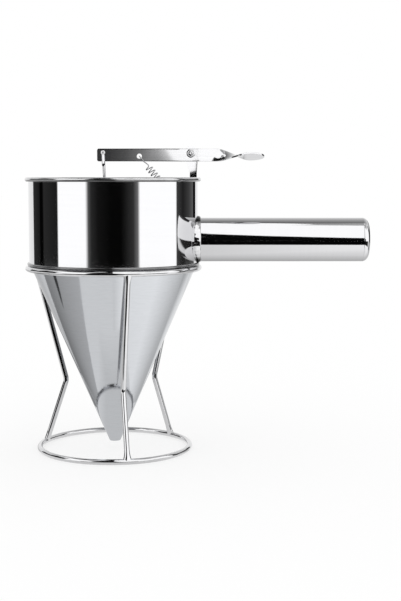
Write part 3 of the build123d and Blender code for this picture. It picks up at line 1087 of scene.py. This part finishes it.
# Lamps, the dim room below them, and the table
card("overhead_light", LAMP_DISTANCE, band(FLAG_TOP, STRAIGHT_UP, [(-180, WHITE), (180, WHITE)]))
card("front_light", LAMP_DISTANCE, band(LAMP_FOOT, LAMP_TOP, [(-76, WHITE), (97, WHITE)]))
card("shade", LAMP_DISTANCE, band(TABLE_EDGE, LAMP_FOOT, [
    (-180, 0.7),
    (-140, 0.65),
    (-128, 0.85),
    (-68, 1.0),
    (-60, 0.03),
    (-10, BLACK),
    (20, BLACK),
    (75, 0.04),
    (80, 1.1),
    (92, 1.1),
    (97, 0.04),
    (106, 0.04),
    (112, 0.6),
    (136, 0.6),
    (150, 0.95),
    (170, 0.95),
    (180, 0.7),
]))
table_tones = [
    (-180, 0.4),
    (-131, 0.25),
    (-100, 0.4),
    (-62, 0.5),
    (-12, 0.5),
    (-6, 0.97),
    (4, 0.95),
    (20, 1.35),
    (80, 1.35),
    (130, 0.7),
    (180, 0.4),
]
card("table", LAMP_DISTANCE, band(STRAIGHT_DOWN, TABLE_EDGE, table_tones), foot_tone=0.85)

# Black flags on the camera's side, to the right and to the left. The front one slopes down to the right.
front_wall = band(LAMP_FOOT, FRONT_FLAG_TOP, [
    (-33, WHITE),
    (-29, 0.12),
    (-25, 0.028),
    (-16, 0.008),
    (0, BLACK),
])
front_slope = [
    (2.3, LAMP_FOOT, 41, BLACK),
    (3.35, LAMP_FOOT, 32, BLACK),
    (8.1, LAMP_FOOT, 20, BLACK),
    (13.3, LAMP_FOOT, 11, BLACK),
    (18, LAMP_FOOT, 6, 0.008),
    (30, LAMP_FOOT, 4, 0.04),
    (36, LAMP_FOOT, 3, 0.2),
    (39, LAMP_FOOT, 3, WHITE),
]
card("front_flag", FLAG_DISTANCE, front_wall + front_slope)
card("right_flag", FLAG_DISTANCE, band(LAMP_FOOT, FLAG_TOP, [
    (95, WHITE),
    (97, 0.06),
    (110, 0.02),
    (125, 0.06),
    (139, 0.14),
    (140.5, BLACK),
    (150, BLACK),
    (151.5, WHITE),
]))
card("left_flag", FLAG_DISTANCE, band(LAMP_FOOT, FLAG_TOP, [
    (-132, WHITE),
    (-130, 0.035),
    (-112, 0.015),
    (-110, BLACK),
    (-104, BLACK),
    (-101, 0.03),
    (-75, 0.015),
    (-73, WHITE),
]))

# Grey ceiling around the overhead lamp
card("rear_ceiling", FLAG_DISTANCE, band(15, CEILING_TOP, [(110, 0.16), (250, 0.16)]), foot_tone=0.95)
card("right_ceiling", FLAG_DISTANCE, band(42, CEILING_TOP, [(58, 0.45), (80, 0.45), (110, 0.8)]))
card("left_ceiling", FLAG_DISTANCE, band(50, CEILING_TOP, [(-110, 0.03), (-42, 0.03)]))

# Low flags for the stand's wires and the cone, and the pale table below
upright_card("low_flag", LOW_FLAG_Y, [
    (-0.5, -0.31, -0.5, 0.1, BLACK),
    (0.07, -0.31, 0.07, 0.1, BLACK),
])
upright_card("leg_flag", LEG_FLAG_Y, [
    (-0.08, -0.02, -0.08, 0.045, BLACK),
    (0.07, -0.02, 0.07, 0.045, BLACK),
])
flat_card("side_flag", [
    ((SIDE_FLAG_X, -0.0405, 0.093), (SIDE_FLAG_X, -0.0255, 0.093), 0.04),
    ((SIDE_FLAG_X, -0.0335, 0.079), (SIDE_FLAG_X, -0.0190, 0.079), 0.04),
    ((SIDE_FLAG_X, -0.0205, 0.0645), (SIDE_FLAG_X, -0.0105, 0.0645), 0.06),
    ((SIDE_FLAG_X, -0.0085, 0.055), (SIDE_FLAG_X, -0.0060, 0.055), 0.2),
])
flat_card("pale_board", [
    ((-0.585, BOARD_FRONT, BOARD_Z), (-0.585, BOARD_BACK, BOARD_Z), 0.95),
    ((0.02, BOARD_FRONT, BOARD_Z), (0.02, BOARD_BACK, BOARD_Z), 0.95),
])
soft_card(
    "floor_shade",
    middle=Vector((0, -0.02, 0.0005)),
    along=Vector((0.066, 0, 0)),
    across=Vector((0, 0.11, 0)),
    tone=0.8,
    edge_tone=0.95,
)

# Reflectors and flags for the lever's strip, its twist, the rod's hook and the thumb pad
upright_card("lever_reflector", LEVER_CARD_Y, [
    (-0.06, LEVER_CARD_LOW, -0.06, LEVER_CARD_HIGH, 0.04),
    (0.01, LEVER_CARD_LOW, -0.015, LEVER_CARD_HIGH, 0.17),
    (0.038, LEVER_CARD_LOW, 0.018, LEVER_CARD_HIGH, 0.43),
    (0.051, LEVER_CARD_LOW, 0.026, LEVER_CARD_HIGH, 0.75),
    (0.053, LEVER_CARD_LOW, 0.028, LEVER_CARD_HIGH, WHITE),
    (0.0595, 0.2428, 0.0595, LEVER_CARD_HIGH, WHITE),
    (0.0707, 0.2458, 0.0707, LEVER_CARD_HIGH, WHITE),
    (0.0718, 0.2558, 0.0718, LEVER_CARD_HIGH, WHITE),
    (0.0755, 0.2558, 0.0755, LEVER_CARD_HIGH, WHITE),
])
upright_card("twist_reflector", TWIST_CARD_Y, [
    (0.037, 0.328, 0.037, TWIST_CARD_HIGH, WHITE),
    (0.055, 0.292, 0.055, TWIST_CARD_HIGH, WHITE),
    (0.0745, 0.2715, 0.0745, TWIST_CARD_HIGH, WHITE),
    (0.0745, 0.2445, 0.0745, TWIST_CARD_HIGH, WHITE),
    (0.125, 0.2445, 0.125, TWIST_CARD_HIGH, WHITE),
])
upright_card("hook_reflector", HOOK_CARD_Y, [
    (-0.0088, HOOK_CARD_LOW, -0.0091, HOOK_CARD_HIGH, WHITE),
    (-0.0072, HOOK_CARD_LOW, -0.0075, HOOK_CARD_HIGH, WHITE),
])
upright_card("hook_flag", TWIST_CARD_Y, [
    (-0.035, HOOK_FLAG_LOW, -0.035, TWIST_FLAG_LOW, 0.045),
    (-0.009, HOOK_FLAG_LOW, -0.009, TWIST_FLAG_LOW, 0.055),
    (0.006, HOOK_FLAG_LOW, 0.006, TWIST_FLAG_LOW, 0.105),
    (0.02, HOOK_FLAG_LOW, 0.02, TWIST_FLAG_LOW, 0.215),
    (0.03, HOOK_FLAG_LOW, 0.03, TWIST_FLAG_LOW, 0.345),
])
upright_card("twist_flag", TWIST_CARD_Y, [
    (-0.06, TWIST_FLAG_LOW, -0.06, TWIST_FLAG_HIGH, BLACK),
    (0.037, TWIST_FLAG_LOW, 0.037, TWIST_FLAG_HIGH, BLACK),
    (0.037, TWIST_FLAG_LOW, 0.037, 0.328, BLACK),
    (0.055, 0.265, 0.055, 0.292, BLACK),
    (0.06, 0.272, 0.06, 0.287, BLACK),
    (0.07, 0.272, 0.07, 0.276, BLACK),
])
soft_card(
    "pad_reflector",
    middle=Vector((0.1225, 0.12, 0.15)),
    along=Vector((0.05, 0, 0)),
    across=Vector((0, 0, 0.04)),
    tone=0.95,
    edge_tone=0.8,
)


def make_floor():
    """Pale floor that keeps a soft shadow and runs into the white background."""
    size = 12
    shadow_share = 0.35
    shadow_tone = 0.9
    material = glow("pale_floor", (1 - shadow_share * shadow_tone) / (1 - shadow_share))
    tree = material.node_tree
    matte = node_of(tree, "ShaderNodeBsdfDiffuse", Color=(shadow_tone, shadow_tone, shadow_tone, 1))
    both = node_of(tree, "ShaderNodeMixShader", Fac=shadow_share)
    tree.links.new(tree.nodes["Emission"].outputs["Emission"], both.inputs[1])
    tree.links.new(matte.outputs["BSDF"], both.inputs[2])
    tree.links.new(both.outputs["Shader"], tree.nodes["Material Output"].inputs["Surface"])
    corners = [(-size, -size, 0), (size, -size, 0), (size, size, 0), (-size, size, 0)]
    mesh = bpy.data.meshes.new("floor")
    mesh.from_pydata(corners, [], [(0, 1, 2, 3)])
    mesh.materials.append(material)
    floor = place_object("floor", mesh)
    floor.visible_glossy = False


def make_world():
    """Even white surroundings."""
    world = bpy.data.worlds.new("white_room")
    world.use_nodes = True
    background = world.node_tree.nodes["Background"]
    background.inputs["Color"].default_value = (1, 1, 1, 1)
    background.inputs["Strength"].default_value = 1.0
    bpy.context.scene.world = world


def make_camera():
    """Camera at the photograph's height, distance and tilt."""
    image_height = 601
    focal_pixels = 1204
    horizon_row = 177
    middle_row = 300.5
    to_the_right = 0.0757
    distance = 1.05
    height = 0.2388
    data = bpy.data.cameras.new("camera")
    data.lens = data.sensor_width * focal_pixels / image_height
    camera = bpy.data.objects.new("camera", data)
    camera.location = (to_the_right, -distance, height)
    camera.rotation_euler = (pi / 2 - atan((middle_row - horizon_row) / focal_pixels), 0, 0)
    bpy.context.scene.collection.objects.link(camera)
    bpy.context.scene.camera = camera


make_floor()
make_world()
make_camera()
bpy.context.scene.view_settings.view_transform = "Standard"
